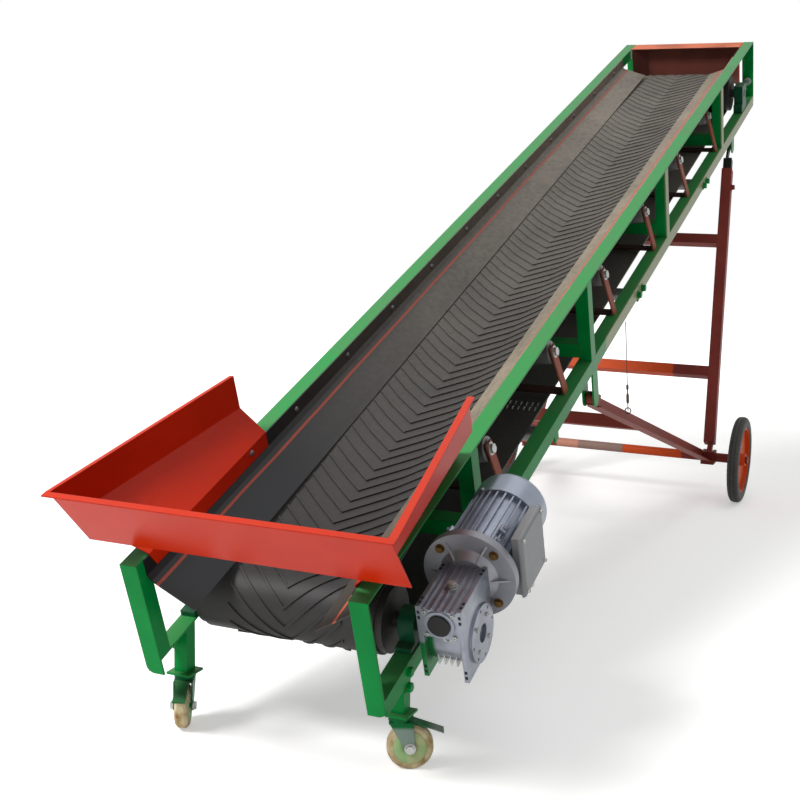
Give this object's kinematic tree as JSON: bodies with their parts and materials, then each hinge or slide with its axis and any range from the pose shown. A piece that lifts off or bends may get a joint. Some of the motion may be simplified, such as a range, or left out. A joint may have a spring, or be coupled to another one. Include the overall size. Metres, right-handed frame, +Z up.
{
  "type": "mobile belt conveyor",
  "caption": "Inclined mobile belt conveyor: angle-iron frame, troughed belt between skirts, sheet feed hopper, worm gear motor, castors and a wheeled telescopic support.",
  "frame": {"origin": "on the floor under the middle of the overall box", "axes": "+X uphill towards the discharge end, +Y to the left of the belt, +Z up"},
  "size_m": [4.9722, 1.24, 2.2121],
  "materials": {
    "green_paint": "satin",
    "red_paint": "satin",
    "primer": "matt",
    "belt_rubber": "matt",
    "skirt_rubber": "matt",
    "roller_steel": "satin",
    "bearing_iron": "satin",
    "gearbox_aluminium": "satin",
    "cap_rubber": "satin",
    "motor_aluminium": "satin",
    "fan_cover_steel": "satin",
    "box_plastic": "matt",
    "zinc": "satin",
    "castor_tread": "matt",
    "tyre_rubber": "matt",
    "rim_paint": "satin"
  },
  "bodies": {
    "frame": {"top_chords": "green_paint", "bottom_chords": "green_paint", "feed_posts": "green_paint", "head_posts": "green_paint", "side_posts": "green_paint", "cross_members": "green_paint", "belt": "belt_rubber", "drive_drum": "roller_steel", "head_drum": "roller_steel", "drive_bearings": "bearing_iron", "take_up_bearings": "bearing_iron", "centre_rollers": "roller_steel", "wing_rollers": "roller_steel", "roller_brackets": "primer", "roller_bases": "primer", "return_rollers": "roller_steel", "return_hangers": "green_paint", "skirt_left": "skirt_rubber", "skirt_right": "skirt_rubber", "hopper_left": "red_paint", "hopper_right": "red_paint", "hopper_front": "red_paint", "discharge_baffle": "red_paint", "gearbox_housing": "gearbox_aluminium", "gearbox_cap": "cap_rubber", "motor_flange": "motor_aluminium", "motor_body": "motor_aluminium", "fan_cover": "fan_cover_steel", "terminal_box": "box_plastic", "castor_legs": "green_paint", "pivot_lugs": "green_paint", "top_lugs": "green_paint"},
    "castor_fork_left": {"castor_fork_left": "zinc"},
    "castor_fork_right": {"castor_fork_right": "zinc"},
    "castor_wheel_left": {"castor_wheel_left": "castor_tread"},
    "castor_wheel_right": {"castor_wheel_right": "castor_tread"},
    "support": {"axle": "primer", "braces": "primer", "brace_tie": "primer"},
    "leg_outer": {"leg_tubes": "primer", "leg_ties": "primer"},
    "leg_inner_left": {"leg_inner_left": "primer"},
    "leg_inner_right": {"leg_inner_right": "primer"},
    "wheel_left": {"tyre_left": "tyre_rubber", "rim_left": "rim_paint"},
    "wheel_right": {"tyre_right": "tyre_rubber", "rim_right": "rim_paint"}
  },
  "joints": [
    {"name": "castor_swivel_left", "type": "hinge", "parent": "frame", "child": "castor_fork_left", "pos_m": [-2.07862, 0.315, 0.142], "axis": [0, 0, 1], "continuous": true},
    {"name": "castor_roll_left", "type": "hinge", "parent": "castor_fork_left", "child": "castor_wheel_left", "pos_m": [-2.10414, 0.30348, 0.059], "axis": [-0.4115, 0.9114, 0], "continuous": true},
    {"name": "castor_swivel_right", "type": "hinge", "parent": "frame", "child": "castor_fork_right", "pos_m": [-2.07862, -0.315, 0.142], "axis": [0, 0, 1], "continuous": true},
    {"name": "castor_roll_right", "type": "hinge", "parent": "castor_fork_right", "child": "castor_wheel_right", "pos_m": [-2.0671, -0.34052, 0.059], "axis": [-0.9114, -0.4115, 0], "continuous": true},
    {"name": "support_hinge", "type": "hinge", "parent": "frame", "child": "support", "pos_m": [-0.4256, 0, 0.70299], "axis": [0, 1, 0], "range_deg": [0, 10]},
    {"name": "leg_hinge", "type": "hinge", "parent": "support", "child": "leg_outer", "pos_m": [1.22137, 0, 0.2], "axis": [0, 1, 0], "range_deg": [-11, 0]},
    {"name": "leg_slide_left", "type": "slide", "parent": "leg_outer", "child": "leg_inner_left", "axis": [0.4594, -0.0761, 0.885], "range_m": [0, 0.305]},
    {"name": "leg_slide_right", "type": "slide", "parent": "leg_outer", "child": "leg_inner_right", "axis": [0.4594, 0.0761, 0.885], "range_m": [0, 0.305]},
    {"name": "wheel_roll_left", "type": "hinge", "parent": "support", "child": "wheel_left", "pos_m": [1.22137, 0.582, 0.2], "axis": [0, 1, 0], "continuous": true},
    {"name": "wheel_roll_right", "type": "hinge", "parent": "support", "child": "wheel_right", "pos_m": [1.22137, -0.582, 0.2], "axis": [0, 1, 0], "continuous": true}
  ],
  "couplings": [
    {"joint": "leg_hinge", "follows": "support_hinge", "ratio": -1.0844},
    {"joint": "leg_slide_left", "follows": "support_hinge", "m_per_rad": 1.7183},
    {"joint": "leg_slide_right", "follows": "support_hinge", "m_per_rad": 1.7183}
  ]
}
